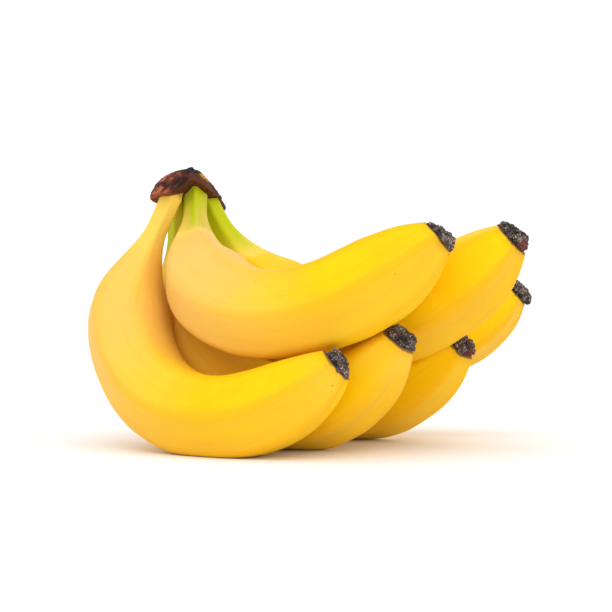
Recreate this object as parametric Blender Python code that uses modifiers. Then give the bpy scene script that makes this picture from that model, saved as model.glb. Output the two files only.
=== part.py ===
"""A bunch of six ripe bananas on one cut crown, resting on the backs of its lower row.

Two rows of three fruits grow from one cushion of woody tissue, the crown. Each fruit is one solid,
from the stem end that sits in the crown to the blunt end, where the dried remains of its flower,
the blossom end, are a piece of their own. The fruits press flat against each other where they
touch, and the lower row is pressed flat where it bears on the table.

+Z is up and +X runs from the crown to the blossom ends. The origin is on the table, under the
middle of the bunch. Lengths in this file are millimetres and angles are degrees; the objects are
made in metres.
"""

import math

import bmesh
import bpy
import numpy as np
from mathutils import Vector

METRE = 0.001

# The two sizes that the fruits take theirs from.
FRUIT_LENGTH = 180.0  # along the middle, from the crown to the blossom end
FRUIT_RADIUS = 18.0

# The crown. A fruit's stem leaves it at one of two rows of three places.
STEM_PITCH = (2.6, 13.5, -2.3)  # from one stem to the next along a row
ROW_STEP = (9.2, 9.9, 2.8)  # from the lower row to the upper row
CROWN_OVERHANG = 10.5  # past the last stem of a row
CROWN_END = 2.6  # how square its ends are
CROWN_LOBE = 0.07  # how far it bulges round each stem
CROWN_TIP = 0.985  # where its first and last section are, as a share of the way to its ends
# Its section across the rows, from the middle of the stems' ends: a skirt that ends in a point
# beyond the lower row, two cut faces that meet in a ridge, and the steep side over the upper row.
CROWN_SECTION = (
    (-19.0, 2.5),
    (-15.5, 5.0),
    (-11.0, 9.5),
    (0.5, 14.0),
    (7.0, 8.5),
    (11.0, 2.0),
    (9.0, -2.0),
    (0.0, -2.5),
    (-10.0, -2.0),
    (-16.0, -0.5),
)
STEM_IN_CROWN = 5.5
SOCKET_GAP = 0.35  # all round a stem in its socket
SOCKET_DEPTHS = (0.0, 6.0, 12.0, 20.0)  # the socket's sections, along the stem from the crown's middle

# The fruits' common shape. A curve's bend is spread over the shares of the length within the second
# number of the first.
NECK_CURVE = (0.25, 0.17)
BODY_CURVE = (0.50, 0.38)
TIP_CURVE = (0.82, 0.25)
SIDE_CURVE = (0.35, 0.33)
STEM_RADIUS = 4.9
NECK_START = 0.074  # as a share of the fruit's length
TAPER_START = 0.70
TAPER_POWER = 3.1
BLUNT_END = 0.35  # the end's radius as a share of the body's
NECK_BEND = 0.25  # the share of the length over which a neck bends when its body leans on another
RIDGES = 5
RIDGE_CROWDING = 1.2  # how much closer together the ridges are on a fruit's narrow face
RIDGE_BODY = 0.045  # how far a ridge stands out, as a share of the radius
RIDGE_ENDS = 0.075
RIDGE_FADE = 0.25  # the share of the length in which the ridges fade, from the neck and from the tip
CONTACT_GAP = 0.5  # left between two fruits that press on each other

# The blossom ends.
BLOSSOM_SEAT = 2.0  # how far before the end of the fruit's middle line its peel stops
BLOSSOM_LENGTH = 5.0
BLOSSOM_GAP = 0.3
# Its outline: how far along it is, and its radius as a share of the fruit's blunt end.
BLOSSOM_OUTLINE = ((0.0, 0.94), (0.25, 1.0), (0.6, 0.92), (0.88, 0.66), (1.0, 0.35))

# How finely the pieces are made. Rings are at shares of a fruit's length.
FRUIT_SIDES = 20
BODY_RINGS = 23
BODY_FROM = 0.04
BODY_TO = 0.86
TIP_RINGS = (0.90, 0.93, 0.96)
BLOSSOM_SIDES = 12
CROWN_SLICES = 13
CURVE_STEPS = 240
CORE_EVERY = 2  # pressing measures from every second step of the curve
PRESS_STEPS = 14  # halvings in the search for the face between two fruits
SETTLE_STEPS = 12
CROWN_STEPS = 6  # points down the middle of a stem in the crown

# Each fruit: its row and place, the way its stem leaves the crown (heading from +X to +Y, and
# elevation), the way it turns from there (roll about the stem), how much longer and thicker it is
# than the common length and radius, how many degrees it bends at the neck, the body, the tip and
# sideways, the share of its length at which the neck ends, and how many degrees its narrow face is
# turned from its keel.
FRUITS = (
    ("lower_1", 0, -1, -161, -65, -39, 8, -0.8, 33, 75, 44, 7, 0.305, 38),
    ("lower_2", 0, 0, -160, -90, -43, 6, 0.1, 26, 74, 41, 19, 0.336, 2),
    ("lower_3", 0, 1, 114, -68, -140, 23, -0.4, 61, 52, 35, 14, 0.336, 23),
    ("upper_1", 1, -1, -86, -52, 28, -11, 0.4, 25, 74, 20, -2, 0.336, 29),
    ("upper_2", 1, 0, -31, -57, 78, -3, 0.8, 20, 65, 16, 3, 0.336, 21),
    ("upper_3", 1, 1, 15, -63, 107, -11, 1.0, 30, 41, 35, 5, 0.336, 25),
)


# How far a lower fruit would reach below the table if it were not flattened, the middle one first.
TABLE_PRESSES = (("lower_2", 2.3), ("lower_1", 1.2), ("lower_3", 1.2))
# How far a fruit would reach into a neighbour if they were not pressed flat. The first one leans.
NEIGHBOUR_PRESSES = (
    ("lower_1", "lower_2", 2.2),
    ("lower_3", "lower_2", 1.2),
    ("upper_1", "lower_2", 1.4),
    ("upper_2", "lower_3", 2.9),
    ("upper_3", "lower_3", 1.5),
    ("upper_3", "upper_2", 1.7),
)


class Fruit:
    """One banana's own sizes, and the curve down its middle."""

    def __init__(self, row):
        self.name, line, place, heading, elevation, roll, longer, thicker = row[:8]
        self.length, self.girth = FRUIT_LENGTH + longer, FRUIT_RADIUS + thicker
        self.neck, self.body, self.tip, self.sideways = np.radians(row[8:12])
        self.neck_end, self.face = row[12], math.radians(row[13])
        self.end = 1.0 - BLOSSOM_SEAT / self.length
        self.start = place * np.array(STEM_PITCH) + line * np.array(ROW_STEP)
        self.aim(*np.radians([heading, elevation, roll]))
        self.grow()

    def aim(self, heading, elevation, roll):
        """Sets the stem's direction, and the direction in which the fruit turns from it."""
        level = math.cos(elevation)
        self.down = np.array(
            [level * math.cos(heading), level * math.sin(heading), math.sin(elevation)]
        )
        across = np.array([-math.sin(heading), math.cos(heading), 0.0])
        self.inward = math.cos(roll) * across + math.sin(roll) * np.cross(self.down, across)

    def grow(self):
        """Walks along the middle of the fruit and keeps its places and directions."""
        share = np.linspace(0.0, 1.0, CURVE_STEPS + 1)
        turn = self.neck * bend(share, *NECK_CURVE)
        turn += self.body * bend(share, *BODY_CURVE)
        turn += self.tip * bend(share, *TIP_CURVE)
        swing = self.sideways * bend(share, *SIDE_CURVE)
        places, alongs, inwards = [self.start], [self.down], [self.inward]
        for step in range(CURVE_STEPS):
            along, inward = alongs[-1], inwards[-1]
            side = np.cross(along, inward)
            bent = along + (turn[step] * inward + swing[step] * side) / CURVE_STEPS
            bent /= np.linalg.norm(bent)
            turned = inward - (inward @ bent) * bent
            places.append(places[-1] + (along + bent) * 0.5 * self.length / CURVE_STEPS)
            alongs.append(bent)
            inwards.append(turned / np.linalg.norm(turned))
        self.share = share
        self.places, self.alongs, self.inwards = map(np.array, (places, alongs, inwards))

    def lift(self, height):
        """Raises the fruit."""
        self.start = self.start + np.array([0.0, 0.0, height])
        self.places = self.places + np.array([0.0, 0.0, height])

    def lean(self, move):
        """Moves the body, and bends the neck to follow it."""
        self.places = self.places + smooth(self.share / NECK_BEND)[:, None] * move

    def keep_core(self):
        """Keeps the points down the middle that its own and its neighbours' pressing measure from."""
        in_crown = np.linspace(-STEM_IN_CROWN / self.length, 0.0, CROWN_STEPS, endpoint=False)
        shares = np.concatenate([in_crown, self.share[::CORE_EVERY]])
        self.core = self.at(shares)[0]
        self.core_radii = self.radius(np.maximum(shares, 0.0))

    def radius(self, share):
        """A thin stem, a neck that swells into the body, and a tip that closes in."""
        swell = smooth((share - NECK_START) / (self.neck_end - NECK_START))
        close = np.clip((share - TAPER_START) / (1.0 - TAPER_START), 0.0, 1.0)
        full = STEM_RADIUS + (self.girth - STEM_RADIUS) * swell
        return full * (1.0 - (1.0 - BLUNT_END) * close**TAPER_POWER)

    def at(self, share):
        """Place, direction and inward direction at a share of the length. Below 0 is in the crown."""
        found = []
        for values in (self.places, self.alongs, self.inwards):
            columns = [np.interp(share, self.share, values[:, axis]) for axis in range(3)]
            found.append(np.stack(columns, axis=-1))
        found[0] += np.minimum(share, 0.0)[..., None] * self.length * self.down
        past_end = np.maximum(share - 1.0, 0.0)[..., None]
        found[0] += past_end * self.length * self.alongs[-1]
        return found

    def nearness(self, points):
        """How far points lie from the middle of this fruit and of its blossom end, as a share of
        its radius there, and that radius."""
        apart = np.linalg.norm(points[:, None, :] - self.core[None, :, :], axis=-1)
        apart = apart / self.core_radii[None, :]
        return apart.min(axis=1), self.core_radii[apart.argmin(axis=1)]


def bend(share, middle, reach):
    """A smooth bump of area 1, which spreads a bend over the shares within reach of its middle."""
    x = np.clip((share - middle) / reach, -1.0, 1.0)
    return (1.0 + np.cos(math.pi * x)) / (2.0 * reach)


def smooth(x):
    x = np.clip(x, 0.0, 1.0)
    return x * x * (3.0 - 2.0 * x)


def ridge_height(share):
    """The ridges stand out most at the neck and at the tip."""
    middle = smooth((share - NECK_START) / RIDGE_FADE) * smooth((1.0 - share) / RIDGE_FADE)
    return RIDGE_ENDS + (RIDGE_BODY - RIDGE_ENDS) * middle


def rings(fruit, shares, grown=0.0):
    """Sections across the fruit as an array of rings, sides and xyz. Side 0 is the keel, on the
    outside of the bend. grown is added to the radius."""
    shares = np.asarray(shares, float)
    places, alongs, inwards = fruit.at(shares)
    sideways = np.cross(alongs, inwards)
    round_it = np.arange(FRUIT_SIDES) * 2.0 * math.pi / FRUIT_SIDES
    from_face = round_it - fruit.face
    ridge = -np.cos(RIDGES * from_face + RIDGE_CROWDING * np.sin(from_face))
    height = ridge_height(np.clip(shares, 0.0, 1.0))[:, None]
    size = fruit.radius(np.clip(shares, 0.0, 1.0))[:, None] * (1.0 + height * ridge) + grown
    out = -np.cos(round_it)[None, :, None] * inwards[:, None, :]
    out = out + np.sin(round_it)[None, :, None] * sideways[:, None, :]
    return places[:, None, :] + size[..., None] * out


def clear_of(other, fruit, points):
    """Which points of a fruit are on its own side of the face half way to another, less half of the
    gap."""
    own, own_radius = fruit.nearness(points)
    away, other_radius = other.nearness(points)
    return away - own >= 0.5 * CONTACT_GAP * (1.0 / own_radius + 1.0 / other_radius)


def press(points, middles, fruit, others):
    """Draws points of a fruit in towards its middle where another fruit presses on it."""
    count = points.shape[1]
    flat = points.reshape(-1, 3)
    roots = np.repeat(middles, count, axis=0)
    for other in others:
        free_already = clear_of(other, fruit, flat)
        held, free = np.where(free_already, 1.0, 0.0), np.ones(len(flat))
        for _ in range(PRESS_STEPS):
            tried = 0.5 * (held + free)
            clear = clear_of(other, fruit, roots + tried[:, None] * (flat - roots))
            held = np.where(clear, tried, held)
            free = np.where(clear, free, tried)
        kept = np.where(free_already, 1.0, held)
        flat = roots + kept[:, None] * (flat - roots)
    return flat.reshape(points.shape)


def loft(name, sections, origin, collection, material):
    """A closed mesh object through a list of rings of points, each end closed by one flat face."""
    sections = np.asarray(sections)
    sides = sections.shape[1]
    mesh = bpy.data.meshes.new(name)
    shape = bmesh.new()
    grid = [
        [shape.verts.new((point - origin) * METRE) for point in section] for section in sections
    ]
    for lower, upper in zip(grid, grid[1:]):
        for side in range(sides):
            after = (side + 1) % sides
            shape.faces.new((lower[side], lower[after], upper[after], upper[side]))
    shape.faces.new(grid[0])
    shape.faces.new(grid[-1])
    bmesh.ops.recalc_face_normals(shape, faces=shape.faces)
    for face in shape.faces:
        face.smooth = len(face.verts) == 4
    shape.to_mesh(mesh)
    shape.free()
    mesh.materials.append(material)
    made = bpy.data.objects.new(name, mesh)
    made.location = Vector(origin) * METRE
    collection.objects.link(made)
    return made


def flatten_on_table(made):
    """Cuts off what would be below the table, and closes the cut with the flat that bears on it."""
    shape = bmesh.new()
    shape.from_mesh(made.data)
    table = Vector((0.0, 0.0, -made.location.z))
    everything = shape.verts[:] + shape.edges[:] + shape.faces[:]
    cut = bmesh.ops.bisect_plane(
        shape, geom=everything, plane_co=table, plane_no=(0.0, 0.0, 1.0), clear_inner=True
    )
    rim = [item for item in cut["geom_cut"] if isinstance(item, bmesh.types.BMEdge)]
    for face in bmesh.ops.contextual_create(shape, geom=rim)["faces"]:
        face.smooth = False
    bmesh.ops.recalc_face_normals(shape, faces=shape.faces)
    shape.to_mesh(made.data)
    shape.free()


def plain(name, colour, roughness):
    """A Principled material of one colour."""
    material = bpy.data.materials.new(name)
    material.use_nodes = True
    shader = material.node_tree.nodes["Principled BSDF"]
    shader.inputs["Base Color"].default_value = (*colour, 1.0)
    shader.inputs["Roughness"].default_value = roughness
    shader.inputs["Metallic"].default_value = 0.0
    material.diffuse_color = (*colour, 1.0)
    return material


def fruit_rings(fruit):
    """The sections of one fruit, from its stem's end in the crown to its blunt end, and their
    middles."""
    stem = np.array([-STEM_IN_CROWN, -0.5 * STEM_IN_CROWN, 0.0]) / fruit.length
    body = np.linspace(BODY_FROM, BODY_TO, BODY_RINGS)
    shares = np.concatenate([stem, [0.5 * BODY_FROM], body, TIP_RINGS, [fruit.end]])
    return rings(fruit, shares), fruit.at(shares)[0]


def reach_into(fruit, other):
    """How far the body of one fruit reaches into another's, and the way from the one to the other."""
    bodies = [one.share >= NECK_BEND for one in (fruit, other)]
    here, there = fruit.places[bodies[0]], other.places[bodies[1]]
    radii = fruit.radius(fruit.share[bodies[0]])[:, None] + other.radius(other.share[bodies[1]])
    apart = np.linalg.norm(here[:, None, :] - there[None, :, :], axis=-1)
    nearest = np.unravel_index((radii - apart).argmax(), apart.shape)
    way = (there[nearest[1]] - here[nearest[0]]) / apart[nearest]
    return (radii - apart)[nearest], way


def settle(fruits):
    """Sets the bunch on the table and leans its fruits on the table and on each other, as deep as
    they press."""
    named = {fruit.name: fruit for fruit in fruits}
    for _ in range(SETTLE_STEPS):
        for number, (name, depth) in enumerate(TABLE_PRESSES):
            rise = -depth - fruit_rings(named[name])[0][..., 2].min()
            if number == 0:
                for fruit in fruits:
                    fruit.lift(rise)
            else:
                named[name].lean(np.array([0.0, 0.0, rise]))
        for name, neighbour, depth in NEIGHBOUR_PRESSES:
            reach, way = reach_into(named[name], named[neighbour])
            named[name].lean((depth - reach) * way)
    for fruit in fruits:
        fruit.keep_core()


def make_fruit(fruit, others, collection, peel):
    """The fruit in one piece, pressed by its neighbours and by the table."""
    points, middles = fruit_rings(fruit)
    points = press(points, middles, fruit, others)
    made = loft("banana_" + fruit.name, points, fruit.start, collection, peel)
    flatten_on_table(made)
    return made


def make_blossom_end(fruit, others, collection, dried):
    """The dried rest of the flower: a short cap that closes in."""
    place, along, inward = (value[0] for value in fruit.at(np.array([fruit.end])))
    end = float(fruit.radius(np.array([fruit.end]))[0])
    side = np.cross(along, inward)
    round_it = np.arange(BLOSSOM_SIDES) * 2.0 * math.pi / BLOSSOM_SIDES
    out = -np.cos(round_it)[:, None] * inward + np.sin(round_it)[:, None] * side
    forward = [BLOSSOM_GAP + step * BLOSSOM_LENGTH for step, _ in BLOSSOM_OUTLINE]
    middles = [place + along * distance for distance in forward]
    sections = [middle + wide * end * out for middle, (_, wide) in zip(middles, BLOSSOM_OUTLINE)]
    sections = press(np.array(sections), np.array(middles), fruit, others)
    return loft("blossom_end_" + fruit.name, sections, place, collection, dried)


def make_crown(fruits, collection, cutters, bark):
    """The cushion of tissue that the stems grow from, cut along a ridge on top, with a socket for
    each stem."""
    middle = np.mean([fruit.start for fruit in fruits], axis=0)
    pitch = np.linalg.norm(STEM_PITCH)
    along = np.array(STEM_PITCH) / pitch
    across = np.cross(along, (0.0, 0.0, 1.0))
    across /= np.linalg.norm(across)
    up = np.cross(across, along)
    reach = pitch + np.linalg.norm(ROW_STEP @ along) / 2.0 + CROWN_OVERHANG
    sections = []
    for place in np.sin(np.linspace(-0.5, 0.5, CROWN_SLICES) * math.pi) * CROWN_TIP:
        size = (1.0 - abs(place) ** CROWN_END) ** (1.0 / CROWN_END)
        size *= 1.0 + CROWN_LOBE * math.cos(2.0 * math.pi * place * reach / pitch)
        ring = [middle + place * reach * along + size * (a * across + b * up) for a, b in CROWN_SECTION]
        sections.append(ring)
    crown = loft("crown", sections, middle, collection, bark)
    smoothed = crown.modifiers.new("rounded", "SUBSURF")
    smoothed.levels = 1
    smoothed.render_levels = 1
    for fruit in fruits:
        depths = np.array([-STEM_IN_CROWN - SOCKET_GAP, *SOCKET_DEPTHS])
        points = rings(fruit, depths / fruit.length, grown=SOCKET_GAP)
        cutter = loft("socket_" + fruit.name, points, fruit.start, cutters, bark)
        cutter.hide_render = True
        cutter.display_type = "WIRE"
        socket = crown.modifiers.new("socket_" + fruit.name, "BOOLEAN")
        socket.operation = "DIFFERENCE"
        socket.solver = "EXACT"
        socket.object = cutter
    return crown


def stand_on_origin(pieces, cutters):
    """Parents everything to one empty, and moves that so that the middle of the bunch is over the
    origin."""
    corners = [
        piece.location + vertex.co for piece in pieces for vertex in piece.data.vertices
    ]
    corners = np.array(corners)
    middle = (corners.min(axis=0) + corners.max(axis=0)) / 2.0
    bunch = bpy.data.objects.new("bunch", None)
    bpy.context.scene.collection.objects.link(bunch)
    bunch.location = (-middle[0], -middle[1], 0.0)
    for piece in pieces + cutters:
        piece.parent = bunch
    return bunch


def main():
    for old in list(bpy.data.objects):
        bpy.data.objects.remove(old, do_unlink=True)
    bananas = bpy.data.collections.new("banana_bunch")
    cutters = bpy.data.collections.new("cutters")
    for collection in (bananas, cutters):
        bpy.context.scene.collection.children.link(collection)
    peel = plain("peel", (0.86, 0.62, 0.05), 0.45)
    bark = plain("crown_bark", (0.13, 0.055, 0.03), 0.8)
    dried = plain("dried_blossom", (0.05, 0.035, 0.03), 0.9)
    fruits = [Fruit(row) for row in FRUITS]
    settle(fruits)
    pieces = []
    for fruit in fruits:
        others = [other for other in fruits if other is not fruit]
        pieces.append(make_fruit(fruit, others, bananas, peel))
        pieces.append(make_blossom_end(fruit, others, bananas, dried))
    pieces.append(make_crown(fruits, bananas, cutters, bark))
    stand_on_origin(pieces, list(cutters.objects))


main()
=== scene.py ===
import math

import bpy
import numpy as np
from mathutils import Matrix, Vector, noise


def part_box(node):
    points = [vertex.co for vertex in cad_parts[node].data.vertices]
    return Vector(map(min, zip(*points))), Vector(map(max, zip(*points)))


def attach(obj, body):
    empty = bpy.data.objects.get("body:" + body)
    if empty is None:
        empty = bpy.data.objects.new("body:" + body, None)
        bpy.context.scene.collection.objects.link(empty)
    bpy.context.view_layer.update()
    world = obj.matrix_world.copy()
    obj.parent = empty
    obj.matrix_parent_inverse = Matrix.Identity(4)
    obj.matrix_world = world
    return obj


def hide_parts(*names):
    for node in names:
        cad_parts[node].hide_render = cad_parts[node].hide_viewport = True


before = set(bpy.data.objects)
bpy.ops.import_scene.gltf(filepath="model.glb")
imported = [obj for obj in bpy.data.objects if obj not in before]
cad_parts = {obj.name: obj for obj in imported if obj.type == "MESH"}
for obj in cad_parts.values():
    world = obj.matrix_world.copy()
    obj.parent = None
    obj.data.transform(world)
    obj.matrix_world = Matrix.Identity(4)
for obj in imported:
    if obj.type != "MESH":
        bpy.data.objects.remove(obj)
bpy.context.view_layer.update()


# ---------------------------------------------------------------------------------------------
# The six bananas. Each is one ripe fruit, soft flesh in a smooth five-sided peel, and grew as one
# piece with its stem. They hang together by the stems only; where two fruits touch they have
# pressed each other flat, and the lower three are flat where they bear on the table.
# ---------------------------------------------------------------------------------------------

MM = 0.001
CROWN_HEIGHT = 102.1
STEM_PITCH = np.array([2.2, 13.5, -2.3])  # from one stem to the next along a row
ROW_BOW = np.array([-0.7, 0.0, 0.0])  # how far both ends of a row lie off its line
ROW_STEP = np.array([9.2, 9.9, 2.8])  # from the lower row to the upper row
STEM_IN_CROWN = 3.5
STEM_FOOT = 0.14  # how much wider the stem gets where it joins the crown
FOOT_REACH = 0.075  # how gently it does so, as a share of the fruit's length
STEM_END = 0.85  # how wide the hidden end of the stem is, as a share of the stem
# the middle and the half length of each stretch that bends, as shares of the fruit's length
NECK_CURVE = (0.25, 0.17)
BODY_CURVE = (0.50, 0.38)
TIP_CURVE = (0.82, 0.25)
SIDE_CURVE = (0.35, 0.33)
NECK_START = 0.074
TAPER_START = 0.70
TAPER_POWER = 3.1
BLUNT_END = 0.35
RIDGE_CROWDING = 1.2  # how much closer together the ridges are on a fruit's narrow face
RIDGE_BODY = 0.045
RIDGE_ENDS = 0.075
RIDGE_CREST = 0.16  # how much sharper than a plain wave the ridges are
SWELL_SIZE, SWELL_DEPTH = 26.0, 0.022  # of the broad unevenness, the depth as a share of the radius
DENT_SIZE, DENT_DEPTH = 7.0, 0.004
TOUCH_GAP = 0.30  # between two fruits that press on each other
TOUCH_ROUND = 2.6  # how softly the peel turns into the flat where it is pressed
TABLE_ROUND = 1.5  # the same, where it bears on the table
BLOSSOM_SEAT = 2.0  # how far before the end of its middle line the peel stops
RINGS, SIDES = 200, 100
CURVE_STEPS = 240
CORE_EVERY = 4  # a neighbour is pressed by every so many of those steps
PRESS_STEPS = 13

# row, place in it, the stem's heading and elevation, the way it turns, length, greatest radius,
# bends at neck, body, tip and sideways, the share where the neck ends, how far the narrow face is
# turned from the keel, and the stem's radius
FRUITS = {
    "lower_1": (0, -1, -161, -65, -39, 189, 17.2, 33, 75, 44, 7, 0.305, 38, 4.4),
    "lower_2": (0, 0, -160, -90, -43, 186, 18.1, 26, 74, 41, 19, 0.336, 2, 4.9),
    "lower_3": (0, 1, 114, -68, -140, 205, 17.6, 61, 52, 35, 14, 0.336, 23, 4.9),
    "upper_1": (1, -1, -86, -52, 28, 169, 18.4, 25, 74, 20, -2, 0.336, 29, 4.9),
    "upper_2": (1, 0, -31, -57, 78, 177, 18.8, 20, 65, 16, 3, 0.336, 21, 4.9),
    "upper_3": (1, 1, 15, -63, 107, 170, 19.0, 30, 41, 35, 5, 0.336, 25, 4.6),
}
# how green the stem is and how far down the neck the green reaches, as a share of the length;
# how green the tip is; how pale and peachy the neck is, which is partly a painted sheen; how
# freckled the peel is
RIPENESS = {
    "lower_1": (0.34, 0.30, 0.18, 0.85, 1.0),
    "lower_2": (0.65, 0.26, 0.22, 0.55, 0.4),
    "lower_3": (0.70, 0.26, 0.08, 0.55, 0.3),
    "upper_1": (0.85, 0.21, 0.00, 1.10, 0.5),
    "upper_2": (1.00, 0.27, 0.00, 0.12, 0.5),
    "upper_3": (0.85, 0.28, 0.12, 0.50, 0.4),
}


def bend(share, middle, reach):
    """A smooth bump of area 1."""
    x = np.clip((share - middle) / reach, -1.0, 1.0)
    return (1.0 + np.cos(math.pi * x)) / (2.0 * reach)


def smooth(x):
    x = np.clip(x, 0.0, 1.0)
    return x * x * (3.0 - 2.0 * x)


def unit(vector):
    return vector / np.linalg.norm(vector, axis=-1, keepdims=True)


class Fruit:
    """The curve down the middle of one banana, in millimetres, and its radius along it."""

    def __init__(self, name, row):
        line, place, heading, elevation, roll, self.length, self.girth = row[:7]
        neck, body, tip, sideways = np.radians(row[7:11])
        self.neck_end, self.face, self.stem = row[11], math.radians(row[12]), row[13]
        self.end = 1.0 - BLOSSOM_SEAT / self.length
        heading, elevation, roll = np.radians([heading, elevation, roll])
        self.name = name
        self.start = np.array([0.0, 0.0, CROWN_HEIGHT]) + place * STEM_PITCH + line * ROW_STEP
        self.start = self.start + place * place * ROW_BOW
        flat = math.cos(elevation)
        self.down = np.array([flat * math.cos(heading), flat * math.sin(heading), math.sin(elevation)])
        across = np.array([-math.sin(heading), math.cos(heading), 0.0])
        self.share = np.linspace(0.0, 1.0, CURVE_STEPS + 1)
        turn = neck * bend(self.share, *NECK_CURVE) + body * bend(self.share, *BODY_CURVE)
        turn += tip * bend(self.share, *TIP_CURVE)
        swing = sideways * bend(self.share, *SIDE_CURVE)
        inward = math.cos(roll) * across + math.sin(roll) * np.cross(self.down, across)
        along, places, alongs, inwards = self.down, [self.start], [self.down], [inward]
        for step in range(CURVE_STEPS):
            bent = along + (turn[step] * inward + swing[step] * np.cross(along, inward)) / CURVE_STEPS
            bent = unit(bent)
            places.append(places[-1] + (along + bent) * 0.5 * self.length / CURVE_STEPS)
            inward = unit(inward - (inward @ bent) * bent)
            along = bent
            alongs.append(along)
            inwards.append(inward)
        self.places, self.alongs, self.inwards = map(np.array, (places, alongs, inwards))

    def move(self, shift):
        self.start = self.start + shift
        self.places = self.places + shift
        self.core, self.core_radii = self.places[::CORE_EVERY], self.radius(self.share[::CORE_EVERY])

    def at(self, share):
        found = []
        for values in (self.places, self.alongs, self.inwards):
            columns = [np.interp(share, self.share, values[:, axis]) for axis in range(3)]
            found.append(np.stack(columns, axis=-1))
        found[0] += np.minimum(share, 0.0)[:, None] * self.length * self.down
        return found

    def radius(self, share):
        swell = smooth((share - NECK_START) / (self.neck_end - NECK_START))
        close = np.clip((share - TAPER_START) / (1.0 - TAPER_START), 0.0, 1.0)
        full = self.stem + (self.girth - self.stem) * swell
        return full * (1.0 - (1.0 - BLUNT_END) * close**TAPER_POWER)

    def nearness(self, points):
        """How far points lie from the middle of this fruit, as a share of its radius there."""
        apart = np.linalg.norm(points[:, None, :] - self.core[None, :, :], axis=-1)
        return (apart / self.core_radii).min(axis=1)


def soft_least(a, b, width):
    """The smaller of two lengths, rounded over where they are nearly alike."""
    near = np.maximum(width - np.abs(a - b), 0.0) / width
    return np.minimum(a, b) - near * near * width / 4.0


def room_towards(fruit, other, middles, outs, reach):
    """How far a ray from the middle of a fruit may run before it is as near to another fruit."""
    margin = 0.5 * TOUCH_GAP * (1.0 / fruit.girth + 1.0 / other.girth)
    room = reach.copy()
    ends = middles + reach[:, None] * outs
    risky = np.nonzero(other.nearness(ends) - fruit.nearness(ends) < margin)[0]
    low, high = np.zeros(len(risky)), np.ones(len(risky))
    for _ in range(PRESS_STEPS):
        tried = 0.5 * (low + high)
        there = middles[risky] + (tried * reach[risky])[:, None] * outs[risky]
        free = other.nearness(there) - fruit.nearness(there) >= margin
        low, high = np.where(free, tried, low), np.where(free, high, tried)
    room[risky] = low * reach[risky]
    return room


def closed_mesh(name, sections, middles=None):
    """A mesh through rings of points, closed at each end with a fan."""
    count, sides = sections.shape[:2]
    first = sections[0].mean(axis=0) if middles is None else middles[0]
    last = sections[-1].mean(axis=0) if middles is None else middles[1]
    points = np.concatenate([sections.reshape(-1, 3), [first, last]]) * MM
    faces = []
    for ring in range(count - 1):
        for side in range(sides):
            after = (side + 1) % sides
            a, b = ring * sides, (ring + 1) * sides
            faces.append((a + side, a + after, b + after, b + side))
    for side in range(sides):
        after = (side + 1) % sides
        faces.append((count * sides, after, side))
        last_ring = (count - 1) * sides
        faces.append((count * sides + 1, last_ring + side, last_ring + after))
    mesh = bpy.data.meshes.new(name)
    mesh.from_pydata(points.tolist(), [], faces)
    mesh.polygons.foreach_set("use_smooth", [True] * len(faces))
    mesh.update()
    made = bpy.data.objects.new(name, mesh)
    bpy.context.scene.collection.objects.link(made)
    return made


def store(made, name, values, kind="FLOAT"):
    """Keeps one number or one vector for each point of a mesh, for its material to read."""
    layer = made.data.attributes.new(name, kind, "POINT")
    layer.data.foreach_set("value" if kind == "FLOAT" else "vector", np.asarray(values, float).ravel())


def rough_noise(points, size, seed, octaves):
    """Cloudy noise from -1 to 1 with lumps of the given size, at points in millimetres."""
    shift = Vector((seed * 17.3, seed * 5.1, seed * 9.7))
    return np.array(
        [noise.fractal(Vector(p) / size + shift, 0.6, 2.0, octaves) for p in points.reshape(-1, 3)]
    )


def outward_sections(fruit, shares):
    """The middles of the sections across a fruit, the ways out to its sides, and the free radius."""
    middles, alongs, inwards = fruit.at(shares)
    sideways = np.cross(alongs, inwards)
    turn = np.arange(SIDES) * 2.0 * math.pi / SIDES
    outs = -np.cos(turn)[None, :, None] * inwards[:, None, :]
    outs = outs + np.sin(turn)[None, :, None] * sideways[:, None, :]
    inside = np.clip(shares, 0.0, 1.0)
    middle = smooth((inside - NECK_START) / 0.25) * smooth((1.0 - inside) / 0.25)
    height = RIDGE_ENDS + (RIDGE_BODY - RIDGE_ENDS) * middle
    from_face = turn - fruit.face
    wave = 5.0 * from_face + RIDGE_CROWDING * np.sin(from_face) + math.pi
    ridges = np.cos(wave) + RIDGE_CREST * np.cos(2.0 * wave)
    foot = 1.0 + STEM_FOOT * np.clip(0.75 - inside / FOOT_REACH, 0.0, 1.0) ** 2
    foot = np.where(shares < 0.0, STEM_END, foot)
    radius = (fruit.radius(inside) * foot)[:, None] * (1.0 + height[:, None] * ridges[None, :])
    return middles, outs, radius, ridges, turn


fruits = {name: Fruit(name, row) for name, row in FRUITS.items()}
shift = np.zeros(3)
for fruit in fruits.values():
    shares = np.linspace(0.0, fruit.end, 60)
    middles, outs, radius, _, _ = outward_sections(fruit, shares)
    shell = (middles[:, None, :] + radius[..., None] * outs).reshape(-1, 3)
    low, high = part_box("banana_" + fruit.name)
    cad_middle = np.array((low + high) / 2.0) / MM
    shift += (cad_middle - (shell.min(axis=0) + shell.max(axis=0)) / 2.0) / len(fruits)
shift[2] = 0.0
for fruit in fruits.values():
    fruit.move(shift)


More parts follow.
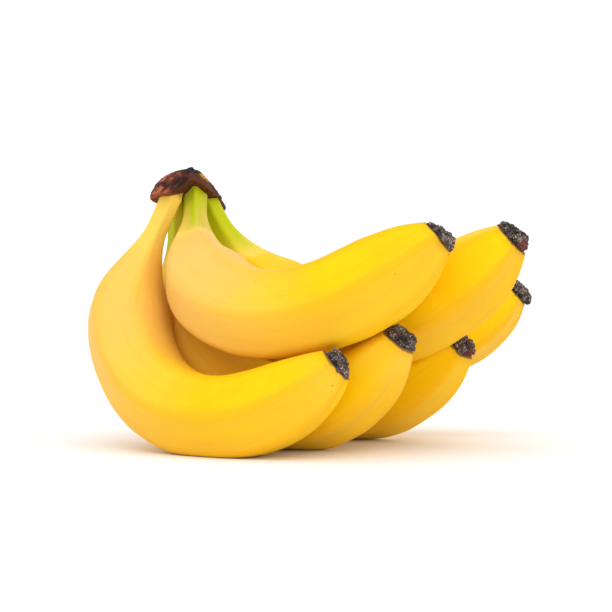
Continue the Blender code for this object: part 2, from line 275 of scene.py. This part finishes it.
def grow_peel(fruit, seed):
    """One fruit's surface: a ring of ridges swept along its middle, then pressed by its neighbours."""
    shares = np.concatenate([[-STEM_IN_CROWN / fruit.length], np.linspace(0.0, fruit.end, RINGS)])
    middles, outs, radius, ridges, turn = outward_sections(fruit, shares)
    count = len(shares)
    starts = np.repeat(middles, SIDES, axis=0)
    outs = outs.reshape(-1, 3)
    free = radius.ravel()
    uneven = rough_noise(starts + free[:, None] * outs, SWELL_SIZE, seed, 2)
    dents = rough_noise(starts + free[:, None] * outs, DENT_SIZE, seed + 3, 2)
    free = free * (1.0 + SWELL_DEPTH * uneven + DENT_DEPTH * dents)
    pressed = free.copy()
    for other in fruits.values():
        if other is not fruit:
            room = room_towards(fruit, other, starts, outs, free + TOUCH_ROUND)
            pressed = np.minimum(pressed, soft_least(free, room, TOUCH_ROUND))
    falling = np.minimum(outs[:, 2], -1e-6)
    to_table = np.where(outs[:, 2] < 0.0, -starts[:, 2] / falling, 1e6)
    pressed = soft_least(pressed, to_table, TABLE_ROUND)
    points = starts + pressed[:, None] * outs
    made = closed_mesh("peel_" + fruit.name, points.reshape(count, SIDES, 3), (middles[0], middles[-1]))
    ends = [0.0, fruit.end]
    along = np.concatenate([np.repeat(shares, SIDES), ends])
    round_it = np.tile(turn, count)
    store(made, "along", along)
    store(made, "to_end", (fruit.end - along) * fruit.length)
    store(made, "ridge", np.concatenate([np.tile(ridges, count), [0.0, 0.0]]))
    grain = np.stack(
        [fruit.girth * np.cos(round_it), fruit.girth * np.sin(round_it), along[:-2] * fruit.length], -1
    )
    grain = np.concatenate([grain, [[0.0, 0.0, 0.0], [0.0, 0.0, fruit.length]]]) + seed * 31.0
    store(made, "grain", grain, "FLOAT_VECTOR")
    green_stem, reach, green_tip, peach_and_sheen, freckles = RIPENESS[fruit.name]
    patchy = np.concatenate([0.05 * uneven, ends])
    green = green_stem * smooth((reach - along + patchy) / (0.75 * reach))
    green += green_tip * smooth((along - 0.83 + patchy) / 0.12)
    store(made, "green", green)
    # The pale, peachy neck: partly the peel's own tone, partly a painted sheen and painted light on the
    # neck and stem.
    pale_neck_and_sheen = peach_and_sheen * smooth((along + 0.10) / 0.16) * smooth((0.74 - along) / 0.46)
    store(made, "pale_neck_and_sheen", pale_neck_and_sheen)
    store(made, "freckles", np.full(len(along), freckles))
    # Painted shade: the peel is darkened a little where a neighbour or the table presses it flat.
    pressed_shade = np.concatenate([smooth((free - pressed) / 2.5), ends])
    store(made, "pressed_shade", pressed_shade)
    # Painted reflection: the narrow face is painted a paler, duller peach, as if lit by light from the
    # white table below.
    face = smooth((np.cos(turn - fruit.face) - 0.70) / 0.22)
    store(made, "narrow_face_painted_reflection", np.concatenate([np.tile(face, count), [0.0, 0.0]]))
    return made


class Wire:
    """One socket of a material. Sums of wires add their own nodes: Math for numbers, Vector Math for
    colours and vectors."""

    def __init__(self, socket):
        self.socket = socket
        self.tree = socket.id_data

    def node(self, kind, settings=None, inputs=None, out=0):
        """Adds a node of any type: its settings first, then the values or wires of its sockets."""
        made = self.tree.nodes.new(kind)
        for key, value in (settings or {}).items():
            setattr(made, key, value)
        for key, value in (inputs or {}).items():
            socket = made.inputs[key]
            if isinstance(value, Wire):
                self.tree.links.new(value.socket, socket)
            elif isinstance(value, (tuple, list)) and socket.type == "RGBA":
                socket.default_value = (*value[:3], 1.0)
            else:
                socket.default_value = value
        return Wire(made.outputs[out])

    def reckon(self, operation, first, second):
        wires = [w for w in (first, second) if isinstance(w, Wire)]
        if any(w.socket.type in ("VECTOR", "RGBA") for w in wires):
            sides = [w if isinstance(w, (Wire, tuple)) else (w, w, w) for w in (first, second)]
            made = self.node("ShaderNodeVectorMath", {"operation": operation})
        else:
            sides = [first, second]
            made = self.node("ShaderNodeMath", {"operation": operation})
        for socket, side in zip(made.socket.node.inputs, sides):
            if isinstance(side, Wire):
                self.tree.links.new(side.socket, socket)
            else:
                socket.default_value = side
        return made

    def __add__(self, other):
        return self.reckon("ADD", self, other)

    def __radd__(self, other):
        return self.reckon("ADD", other, self)

    def __sub__(self, other):
        return self.reckon("SUBTRACT", self, other)

    def __rsub__(self, other):
        return self.reckon("SUBTRACT", other, self)

    def __mul__(self, other):
        return self.reckon("MULTIPLY", self, other)

    def __rmul__(self, other):
        return self.reckon("MULTIPLY", other, self)

    def __truediv__(self, other):
        return self.reckon("DIVIDE", self, other)

    def __pow__(self, other):
        return self.reckon("POWER", self, other)

    def step(self, low, high):
        """0 below low, 1 above high, smooth between them; the other way round if high is below low."""
        where = {"Value": self, "From Min": low, "From Max": high}
        if high < low:
            where.update({"From Min": high, "From Max": low, "To Min": 1.0, "To Max": 0.0})
        return self.node("ShaderNodeMapRange", {"interpolation_type": "SMOOTHSTEP"}, where)

    def cover(self, mask, colour):
        """This colour, covered by another where the mask is 1."""
        made = self.tree.nodes.new("ShaderNodeMix")
        made.data_type = "RGBA"
        factor, under, over = made.inputs[0], made.inputs[6], made.inputs[7]
        for socket, value in ((factor, mask), (under, self), (over, colour)):
            if isinstance(value, Wire):
                self.tree.links.new(value.socket, socket)
            elif socket is over:
                socket.default_value = (*value[:3], 1.0)
            else:
                socket.default_value = value
        return Wire(made.outputs[2])

    def paint(self, tone):
        """A wire that carries one colour."""
        made = self.tree.nodes.new("ShaderNodeRGB")
        made.outputs[0].default_value = (*tone, 1.0)
        return Wire(made.outputs[0])

    def noise(self, size, detail=3.0, rough=0.55, out=0):
        """Cloudy noise with lumps of about the given size, on a vector in the same unit."""
        settings = {"noise_dimensions": "3D"}
        values = {"Vector": self, "Scale": 1.0 / size, "Detail": detail, "Roughness": rough}
        return self.node("ShaderNodeTexNoise", settings, values, out)


def colour(red, green, blue):
    """A colour as a painter's 0 to 255 values, turned into amounts of light."""
    tones = [tone / 255.0 for tone in (red, green, blue)]
    return tuple(t / 12.92 if t < 0.04045 else ((t + 0.055) / 1.055) ** 2.4 for t in tones)


def new_material(name, **constants):
    """A Principled material, with the values that are the same all over set on its own sockets."""
    material = bpy.data.materials.new(name)
    material.use_nodes = True
    shader = material.node_tree.nodes["Principled BSDF"]
    for key, value in constants.items():
        shader.inputs[key.replace("_", " ")].default_value = value
    return material, shader, Wire(shader.outputs[0])


def finish_material(shader, maker, base, rough, height=None, depth=0.2, strength=1.0):
    links = shader.id_data.links
    links.new(base.socket, shader.inputs["Base Color"])
    links.new(rough.socket, shader.inputs["Roughness"])
    if height is not None:
        values = {"Height": height, "Distance": depth * MM, "Strength": strength}
        bump = maker.node("ShaderNodeBump", {}, values)
        links.new(bump.socket, shader.inputs["Normal"])


def make_peel_material():
    """Ripe peel: a waxy skin, bright yellow at the tip and paler at the neck, that paleness partly a
    painted sheen, green where it ripens last, with long faint fibres, a few brown freckles, a brown
    edge at the blossom end, painted shade where the peel is pressed flat, and a painted reflection of
    the white table on its narrow face."""
    material, shader, maker = new_material(
        "banana_peel", Specular_IOR_Level=0.08
    )

    def read(name, out=2):
        return maker.node("ShaderNodeAttribute", {"attribute_name": name}, {}, out)

    along, ridge, green = read("along"), read("ridge"), read("green")
    pale_neck_and_sheen, freckled, pressed_shade = read("pale_neck_and_sheen"), read("freckles"), read("pressed_shade")
    face, grain = read("narrow_face_painted_reflection"), read("grain", 1)
    fibres = (grain * (1.0, 1.0, 0.06)).noise(2.0, 4.0, 0.6)
    clouds = grain.noise(24.0, 3.0, 0.5)
    blotches = (grain + (91.0, 13.0, 47.0)).noise(9.0, 4.0, 0.55)
    streaks = (grain * (1.0, 1.0, 0.12) + (3.0, 57.0, 11.0)).noise(7.0, 3.0, 0.5)

    base = maker.paint(colour(250, 201, 0))
    base = base.cover(clouds.step(0.42, 0.66) * 0.7, colour(248, 192, 0))
    base = base.cover(blotches.step(0.50, 0.74) * 0.45, colour(251, 208, 8))
    base = base.cover(streaks.step(0.52, 0.70) * 0.30, colour(243, 186, 4))
    # Painted reflection of the white table on the narrow face.
    base = base.cover(face * (0.20 + 0.6 * streaks), colour(230, 176, 58))
    # Pale peachy neck, partly its own tone and partly a painted sheen.
    base = base.cover(pale_neck_and_sheen * (0.60 + 0.5 * clouds), colour(241, 192, 104))
    base = base.cover(fibres.step(0.50, 0.72) * 0.24, colour(232, 172, 20))
    crest = (ridge + 0.7 * (streaks - 0.5)).step(0.45, 1.1)
    base = base.cover(crest * 0.45 * (1.0 - 0.7 * pale_neck_and_sheen), colour(247, 180, 0))
    green = (green * (0.70 + 0.64 * fibres)).step(0.02, 0.98)
    base = base.cover(green.step(0.0, 0.36) * 0.8, colour(247, 214, 92))
    base = base.cover(green.step(0.24, 0.90), colour(208, 198, 26))
    base = base.cover(green.step(0.10, 0.60) * pale_neck_and_sheen * 0.50, colour(204, 176, 82))
    base = base.cover((green * streaks).step(0.27, 0.47) * 0.85, colour(186, 200, 0))
    base = base.cover((green * fibres).step(0.50, 0.80) * 0.35, colour(214, 190, 76))
    # Painted shade where the peel is pressed flat against a neighbour or the table.
    base = base.cover(pressed_shade * 0.15, colour(226, 166, 30))

    def dots(size, offset):
        values = {"Vector": grain + offset, "Scale": 1.0 / size, "Randomness": 1.0}
        return grain.node("ShaderNodeTexVoronoi", {"feature": "F1"}, values)

    where = (grain + (7.0, 71.0, 29.0)).noise(17.0, 2.0, 0.5)
    specks = dots(6.2, (0.0, 0.0, 0.0)).step(0.085, 0.035) * where.step(0.52, 0.64) * freckled
    base = base.cover(specks * 0.75, colour(150, 92, 26))
    pores = dots(1.8, (9.0, 4.0, 2.0)).step(0.10, 0.04) * blotches.step(0.42, 0.62)
    base = base.cover(pores * 0.22, colour(196, 140, 30))
    scuffs = (grain * (1.0, 1.0, 0.16) + (5.0, 2.0, 83.0)).noise(3.4, 3.0, 0.6)
    base = base.cover(scuffs.step(0.71, 0.78) * where.step(0.5, 0.62) * 0.5, colour(186, 122, 48))
    to_end = read("to_end") + 1.4 * (blotches - 0.5) + 0.5 * (fibres - 0.5)
    base = base.cover(to_end.step(3.5, 0.4) * 0.30, colour(214, 152, 18))
    base = base.cover(to_end.step(0.7, 0.1) * 0.8, colour(110, 82, 46))
    foot = along - 0.02 * (blotches - 0.5)
    base = base.cover(foot.step(0.006, -0.012) * 0.6, colour(120, 84, 34))

    rough = 0.42 + 0.16 * clouds + 0.10 * (fibres - 0.5) + 0.2 * specks
    height = fibres * 0.5 + grain.noise(1.1, 3.0, 0.6) * 0.25 + blotches * 0.5 - specks * 0.4
    finish_material(shader, maker, base, rough, height, 0.16, 0.75)
    return material


peel = make_peel_material()
for number, (name, fruit) in enumerate(fruits.items()):
    banana = grow_peel(fruit, number + 1)
    banana.data.materials.append(peel)
    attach(banana, "root")
    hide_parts("banana_" + name)


# ---------------------------------------------------------------------------------------------
# The blossom ends. The flower dries to a hard black-brown crust on the blunt end of each fruit,
# with pale dead cells that catch the light. It grew on the fruit and needs no fixing.
# ---------------------------------------------------------------------------------------------

CAP_SIDES, CAP_RINGS = 120, 64
CAP_SLANT = 0.9  # how much further the cap stands out at its red-brown corner
# the size and the depth of the crust's lumps, chips and pits, and the depth of the cracks
LUMPS = (3.8, 1.0)
CHIPS = (1.5, 0.45)
PITS = (0.6, 0.16)
CRACK_DEPTH = 0.40
# across the cap: wide and narrow way as shares of the fruit's blunt end, the angle of the wide way
# round the fruit, how long the cap is in millimetres, and where its red-brown corner is
CAPS = {
    "lower_1": (1.02, 0.80, 20, 3.8, 205),
    "lower_2": (0.98, 0.90, 60, 4.8, 300),
    "lower_3": (1.10, 0.82, 10, 4.4, 20),
    "upper_1": (1.16, 0.80, 15, 4.6, 340),
    "upper_2": (1.04, 0.90, 30, 5.2, 20),
    "upper_3": (1.14, 0.78, 5, 4.2, 330),
}
# a cap's outline from where it leaves the peel to its middle: share of its length, share of its width
CAP_OUTLINE = (
    (-0.20, 0.72),
    (-0.10, 0.92),
    (0.08, 1.00),
    (0.34, 0.99),
    (0.62, 0.90),
    (0.86, 0.76),
    (1.00, 0.55),
    (0.94, 0.36),
    (0.82, 0.18),
    (0.78, 0.03),
)


def chipped(points, size, seed):
    """A surface broken into chips: how far each chip stands out, and how near its crack is."""
    shift = Vector((seed * 11.3, seed * 7.1, seed * 3.7))
    heights, cracks = [], []
    for point in points:
        near, centres = noise.voronoi(Vector(point) / size + shift)
        heights.append(noise.cell(centres[0] * 3.7))
        cracks.append(near[1] - near[0])
    return np.array(heights), 1.0 - smooth(np.array(cracks) / 0.28)


def dry_cap(fruit, seed):
    wide, narrow, tilt, length, corner = CAPS[fruit.name]
    place, along, inward = (value[0] for value in fruit.at(np.array([fruit.end])))
    side = np.cross(along, inward)
    end = float(fruit.radius(np.array([fruit.end]))[0])
    turn = np.arange(CAP_SIDES) * 2.0 * math.pi / CAP_SIDES
    step = np.linspace(0.0, 1.0, CAP_RINGS)
    marks = np.linspace(0.0, 1.0, len(CAP_OUTLINE))
    outline = np.array(CAP_OUTLINE)
    forward = np.interp(step, marks, outline[:, 0]) * length
    size = np.interp(step, marks, outline[:, 1]) * end
    angle = turn - math.radians(tilt)
    lobes = 1.0 / np.sqrt((np.cos(angle) / wide) ** 2 + (np.sin(angle) / narrow) ** 2)
    lobes *= 1.0 + 0.07 * np.cos(3.0 * turn + seed) + 0.05 * np.cos(5.0 * turn + 2.0 * seed)
    lobes = 1.0 + (lobes - 1.0) * smooth(step * 5.0)[:, None]
    out = -np.cos(turn)[:, None] * inward + np.sin(turn)[:, None] * side
    radii = size[:, None] * lobes
    slant = CAP_SLANT * np.cos(turn - math.radians(corner)) * smooth(step * 3.0)[:, None]
    sections = place + (forward[:, None] + slant)[..., None] * along + radii[..., None] * out
    flat = sections.reshape(-1, 3)
    middle = place + 0.3 * length * along
    away = unit(flat - middle)
    lumps = rough_noise(flat, LUMPS[0], seed + 20, 3)
    pits = rough_noise(flat, PITS[0], seed + 60, 2)
    chips, cracks = chipped(flat, CHIPS[0], seed + 40)
    depth = LUMPS[1] * lumps + CHIPS[1] * (chips - 0.5) - CRACK_DEPTH * cracks + PITS[1] * pits
    free = np.repeat(smooth(step * 7.0), CAP_SIDES)
    moved = flat + (depth * free)[:, None] * away
    made = closed_mesh("dried_flower_" + fruit.name, moved.reshape(CAP_RINGS, CAP_SIDES, 3))
    store(made, "crust", np.concatenate([depth * free, [0.0, 0.0]]))
    red = smooth((np.cos(turn - math.radians(corner)) - 0.86) / 0.12)
    low = smooth(step * 6.0) * smooth((0.62 - step) / 0.2)
    store(made, "red", np.concatenate([(low[:, None] * red[None, :]).ravel(), [0.0, 0.0]]))
    shown = (moved - place) @ along
    store(made, "forward", np.concatenate([shown, [0.0, length]]))
    return made


def make_crust_material():
    """Dried flower: black-brown crust, grey and straw-coloured flecks on its crests, painted shade in its
    cracks, red-brown sap.
    """
    material, shader, maker = new_material("dried_flower_crust", Specular_IOR_Level=0.5)

    def read(name, out=2):
        return maker.node("ShaderNodeAttribute", {"attribute_name": name}, {}, out)

    crust, red, forward = read("crust"), read("red"), read("forward")
    place = maker.node("ShaderNodeTexCoord", {}, {}, 3) * (1000.0, 1000.0, 1000.0)
    clouds = place.noise(3.0, 3.0, 0.6)
    cells = place.node("ShaderNodeTexVoronoi", {"feature": "F1"}, {"Vector": place, "Scale": 1.5}, 1)
    fleck = place.node("ShaderNodeTexVoronoi", {"feature": "F1"}, {"Vector": place, "Scale": 1.5})
    chosen = cells.node("ShaderNodeSeparateColor", {}, {"Color": cells}, 0)
    fine = place.noise(0.5, 3.0, 0.7)
    base = maker.paint(colour(80, 62, 55))
    base = base.cover(clouds.step(0.42, 0.60), colour(112, 92, 82))
    base = base.cover(fine.step(0.44, 0.58) * 0.6, colour(50, 38, 36))
    base = base.cover(crust.step(0.0, 0.9) * 0.5, colour(156, 140, 124))
    flecks = chosen.step(0.50, 0.60) * fleck.step(0.46, 0.22) * forward.step(0.3, 1.1)
    base = base.cover(flecks * 0.9, colour(222, 212, 196))
    # Painted shade: the cracks and hollows of the crust are painted near black.
    base = base.cover(crust.step(-0.30, -0.85) * 0.85, colour(24, 16, 15))
    base = base.cover(red * clouds.step(0.35, 0.55) * 0.9, colour(110, 22, 24))
    base = base.cover(forward.step(0.2, -0.3) * 0.6, colour(60, 42, 28))
    rough = 0.72 - 0.28 * flecks + 0.1 * clouds - 0.3 * red
    height = fine + 0.8 * fleck
    finish_material(shader, maker, base, rough, height, 0.25, 0.9)
    return material


crust = make_crust_material()
for number, (name, fruit) in enumerate(fruits.items()):
    cap = dry_cap(fruit, number + 1)
    cap.data.materials.append(crust)
    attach(cap, "root")
    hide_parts("blossom_end_" + name)


# ---------------------------------------------------------------------------------------------
# The crown. The cushion of woody tissue that all six stems grow from, cut off the plant with two
# strokes of a knife that meet in a ridge. Its skin has dried to a red-brown leather, which reaches
# down over the stems in lobes, and black along the cut.
# ---------------------------------------------------------------------------------------------

CROWN_SIDES, CROWN_RINGS, UNDER_RINGS = 300, 110, 16
STEM_COVER = 8.3  # how far the crown reaches round the middle of each stem
STEM_SKIN = 0.9  # how thick the crown is at least over the outside of a stem
COVERED_SHARE = 0.05  # the stretch of each fruit, from its root, that the crown is pushed out over
JOIN_WIDTH = 1.6  # how softly the crown's outline runs from one stem to the next
ROOF_FALL, ROOF_FALL_AT = 0.55, 31.0  # the share of its height the roof loses, and how far along
CROWN_REACH = 42.0  # a length that is surely past the crown's edge
NEAR_EXTRA = 1.4  # how much further the crown reaches at its near end
THORN_AT, THORN_WIDTH, THORN_LENGTH = -72.0, 5.0, 0.30
FOLD_DEPTH, LUMP_DEPTH, PIT_DEPTH = 1.0, 0.8, 0.16
# its height over the stems' roots, from the skirt beyond the lower row to the side over the upper row
CROWN_ROOF = (
    (-17.0, 1.5),
    (-13.0, 4.4),
    (-9.0, 8.6),
    (-4.0, 10.8),
    (3.0, 13.0),
    (6.5, 9.8),
    (10.0, 6.0),
    (12.5, 2.6),
)
# the rim's height over the roots, round the crown in degrees: 0 is its near end, 90 its +X side
CROWN_RIM = (
    (-180, -2.0),
    (-150, -0.6),
    (-120, -2.6),
    (-95, 0.8),
    (-72, 2.0),
    (-57, -0.4),
    (-38, -4.4),
    (-24, -3.0),
    (-10, -3.0),
    (0, -1.6),
    (8, 3.0),
    (14, 5.2),
    (20, 4.6),
    (30, 2.6),
    (45, 1.6),
    (70, 1.4),
    (110, 2.2),
    (140, 1.4),
    (165, -1.4),
    (180, -2.0),
)


def grow_crown():
    roots = np.array([fruit.start for fruit in fruits.values()])
    middle = roots.mean(axis=0)
    along = unit(STEM_PITCH)
    across = unit(np.cross(along, (0.0, 0.0, 1.0)))
    up = np.cross(across, along)
    flat_roots = np.stack([(roots - middle) @ along, (roots - middle) @ across], -1)
    turn = np.arange(CROWN_SIDES) * 2.0 * math.pi / CROWN_SIDES
    degrees = (np.degrees(turn) + 180.0) % 360.0 - 180.0
    ray = np.stack([-np.cos(turn), np.sin(turn)], -1)
    reach = np.linspace(0.0, CROWN_REACH, 400)
    spots = reach[None, :, None] * ray[:, None, :]
    apart = np.linalg.norm(spots[:, :, None, :] - flat_roots, axis=-1)
    joined = -JOIN_WIDTH * np.log(np.exp(-apart / JOIN_WIDTH).sum(axis=-1))
    edge = np.array([reach[inside][-1] for inside in joined < STEM_COVER])
    edge = sum(np.roll(edge, k) for k in range(-3, 4)) / 7.0
    edge = edge + NEAR_EXTRA * np.maximum(np.cos(turn), 0.0)
    rim = np.interp(degrees, *zip(*CROWN_RIM))
    rim = sum(np.roll(rim, k) for k in range(-3, 4)) / 7.0
    rim = rim + 0.5 * rough_noise(np.stack([8.0 * ray[:, 0], 8.0 * ray[:, 1], 0.0 * turn], -1), 2.2, 5, 2)
    thorn = np.exp(-(((degrees - THORN_AT) / THORN_WIDTH) ** 2))

    over = np.sin(np.linspace(0.02, 1.0, CROWN_RINGS - UNDER_RINGS) * math.pi / 2.0)
    sections = []
    for share in over:
        spot = share * edge[:, None] * ray
        roof = np.interp(spot[:, 1], *zip(*CROWN_ROOF))
        roof = roof * (1.0 - np.abs(spot[:, 0] / ROOF_FALL_AT) ** 2.4 * ROOF_FALL)
        roof = np.maximum(roof, rim + 1.5)
        side = np.maximum(1.0 - share**5.0, 0.0) ** 0.55
        height = rim + (roof - rim) * side
        far = 1.0 + thorn * THORN_LENGTH * share**14
        sections.append(middle + far[:, None] * (spot @ np.stack([along, across])) + height[:, None] * up)
    for share in np.linspace(1.0, 0.0, UNDER_RINGS + 1)[1:-1]:
        inset = 1.0 - 0.14 * smooth((1.0 - share) * 6.0)
        spot = inset * share**0.5 * edge[:, None] * ray
        height = rim * share - 0.5 * smooth((1.0 - share) * 8.0)
        sections.append(middle + spot @ np.stack([along, across]) + height[:, None] * up)
    sections = np.array(sections)
    flat = sections.reshape(-1, 3)
    centre = middle - 2.0 * up
    out = unit(flat - centre)
    local = np.stack([(flat - middle) @ along, (flat - middle) @ across, (flat - middle) @ up], -1)
    lumps = rough_noise(local, 10.0, 71, 2)
    folds = np.abs(rough_noise(local * (1.0, 1.0, 0.45), 5.2, 72, 2))
    pits = rough_noise(local, 1.1, 73, 3)
    depth = LUMP_DEPTH * lumps - FOLD_DEPTH * folds + PIT_DEPTH * pits
    top = np.repeat(np.arange(len(sections)) < len(over), CROWN_SIDES)
    near_rim = smooth((local[:, 2] - np.tile(rim, len(sections))) / 4.0)
    flat = flat + (depth * np.where(top, 0.25 + 0.75 * near_rim, 0.2))[:, None] * out
    each = np.arange(len(flat))
    for fruit in fruits.values():
        shares = np.linspace(-STEM_IN_CROWN / fruit.length, COVERED_SHARE, 14)
        middles, _, stem_radius, _, _ = outward_sections(fruit, shares)
        away = flat[:, None, :] - middles[None, :, :]
        apart = np.linalg.norm(away, axis=-1)
        short = stem_radius.max(axis=1) + STEM_SKIN - apart
        worst = short.argmax(axis=1)
        push = np.where(top, np.maximum(short[each, worst], 0.0), 0.0)
        flat = flat + (push / apart[each, worst])[:, None] * away[each, worst]
    made = closed_mesh("crown_cushion", flat.reshape(sections.shape))
    ends = np.zeros((2, 3))
    store(made, "spot", np.concatenate([local, ends]), "FLOAT_VECTOR")
    store(made, "fold", np.concatenate([depth, [0.0, 0.0]]))
    over_rim = local[:, 2] - np.tile(rim, len(sections))
    store(made, "over_rim", np.concatenate([over_rim, [0.0, 0.0]]))
    return made


def make_crown_material():
    """Dried crown skin: red-brown leather, copper where it is thin, black at the cut, painted shade in
    its deepest folds, and a patch of peel still yellow on the shoulder over the upper row."""
    material, shader, maker = new_material("crown_leather", Specular_IOR_Level=0.10)

    def read(name, out=2):
        return maker.node("ShaderNodeAttribute", {"attribute_name": name}, {}, out)

    fold, over_rim, spot = read("fold"), read("over_rim"), read("spot", 1)
    parts = [spot.node("ShaderNodeSeparateXYZ", {}, {"Vector": spot}, axis) for axis in range(3)]
    along, across, height = parts
    clouds = spot.noise(7.0, 4.0, 0.6)
    patches = (spot + (31.0, 17.0, 5.0)).noise(4.2, 4.0, 0.6)
    fine = spot.noise(0.8, 4.0, 0.65)
    threads = (spot * (1.0, 1.0, 0.22)).noise(1.3, 4.0, 0.6)
    base = maker.paint(colour(92, 42, 34))
    base = base.cover(clouds.step(0.44, 0.60), colour(54, 30, 28))
    copper = patches.step(0.41, 0.55) * across.step(4.0, -3.0)
    base = base.cover(copper * 0.95, colour(176, 94, 62))
    base = base.cover((copper * threads).step(0.30, 0.60) * 0.6, colour(184, 104, 66))
    base = base.cover(threads.step(0.52, 0.70) * 0.30, colour(112, 62, 46))
    base = base.cover(across.step(1.0, 6.0) * 0.7, colour(88, 52, 26))
    # Painted shade: the deepest folds of the skin are painted near black.
    base = base.cover(fold.step(-0.3, -1.0) * 0.75, colour(26, 15, 15))
    cut = across.step(-4.5, -1.0) * across.step(6.0, 3.5) * along.step(0.0, -7.0)
    base = base.cover(cut * (0.35 + clouds).step(0.7, 0.9) * 0.8, colour(36, 20, 18))
    ridge = height + 2.4 * (clouds - 0.5)
    base = base.cover(ridge.step(7.4, 9.8) * 0.95, colour(22, 14, 14))
    shoulder = (across - 7.0) * (across - 7.0) + 0.05 * (along + 6.0) * (along + 6.0)
    shoulder = (shoulder + 7.0 * (threads - 0.5)).step(3.2, 1.4)
    olive = shoulder * height.step(3.5, 5.5) * (patches + 0.1).step(0.38, 0.52)
    base = base.cover(olive * 0.85, colour(206, 146, 24))
    base = base.cover(over_rim.step(1.0, 0.1) * 0.4, colour(110, 62, 36))
    base = base.cover(fine.step(0.58, 0.72) * 0.22, colour(134, 92, 66))
    rough = 0.62 + 0.2 * clouds - 0.12 * fine
    height = threads + 0.6 * fine
    finish_material(shader, maker, base, rough, height, 0.35, 0.9)
    return material


crown = grow_crown()
crown.data.materials.append(make_crown_material())
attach(crown, "root")
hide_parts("crown")


# ---------------------------------------------------------------------------------------------
# The table, the lights and the camera: a plain white sheet under wide soft lamps, seen from just
# above the table.
# ---------------------------------------------------------------------------------------------

TABLE_SIZE = 14.0  # in metres

bpy.ops.mesh.primitive_plane_add(size=TABLE_SIZE)
table = bpy.context.object
table.name = "table"
paper, shader, maker = new_material("white_table", Specular_IOR_Level=0.2)
shade = maker.node("ShaderNodeTexCoord", {}, {}, 3).noise(0.6, 2.0, 0.5)
white = maker.paint((0.97, 0.97, 0.97)).cover(shade, (0.95, 0.95, 0.95))
finish_material(shader, maker, white, 0.85 + 0.1 * shade)
table.data.materials.append(paper)

# The room is white where it meets the table and darker overhead, round the lamp.
world = bpy.data.worlds.new("white_room")
bpy.context.scene.world = world
world.use_nodes = True
sky = world.node_tree.nodes["Background"]
room = Wire(sky.outputs[0])
direction = room.node("ShaderNodeTexCoord")
rise = direction.node("ShaderNodeSeparateXYZ", {}, {"Vector": direction}, 2)
light = room.paint((1.12, 1.12, 1.12)).cover(rise.step(0.15, 0.85), (0.86, 0.86, 0.88))
world.node_tree.links.new(light.socket, sky.inputs["Color"])


def lamp(name, heading, height, strength, spread):
    """A very wide soft lamp far away, so that it lights the whole table alike."""
    data = bpy.data.lights.new(name, "SUN")
    data.energy = strength
    data.angle = math.radians(spread)
    made = bpy.data.objects.new(name, data)
    made.rotation_euler = (math.radians(90.0 - height), 0.0, math.radians(heading))
    bpy.context.scene.collection.objects.link(made)
    return made


lamp("wide_lamp", -14.0, 72.0, 0.85, 80.0)
lamp("low_lamp", 20.0, 10.0, 0.34, 50.0)

VIEW_DISTANCE = 890.3
VIEW_HEIGHT = 5.22
VIEW_TILT = 3.77
VIEW_DROP = 1.0
LENS, SENSOR = 120.6, 36.0
VIEW_FOOT = (54.1, 3.9)  # from the root of the middle lower fruit to the spot that is looked at
foot = shift[0] + VIEW_FOOT[0], shift[1] + VIEW_FOOT[1]
angle = math.radians(VIEW_HEIGHT)
camera_data = bpy.data.cameras.new("camera")
camera_data.sensor_width = SENSOR
camera_data.lens = LENS
camera = bpy.data.objects.new("camera", camera_data)
bpy.context.scene.collection.objects.link(camera)
camera.location = Vector(
    (foot[0], foot[1] - VIEW_DISTANCE * math.cos(angle), VIEW_DISTANCE * math.sin(angle) - VIEW_DROP)
) * MM
camera.rotation_euler = (math.radians(90.0 - VIEW_HEIGHT + VIEW_TILT), 0.0, 0.0)
bpy.context.scene.camera = camera
bpy.context.scene.view_settings.view_transform = "Standard"
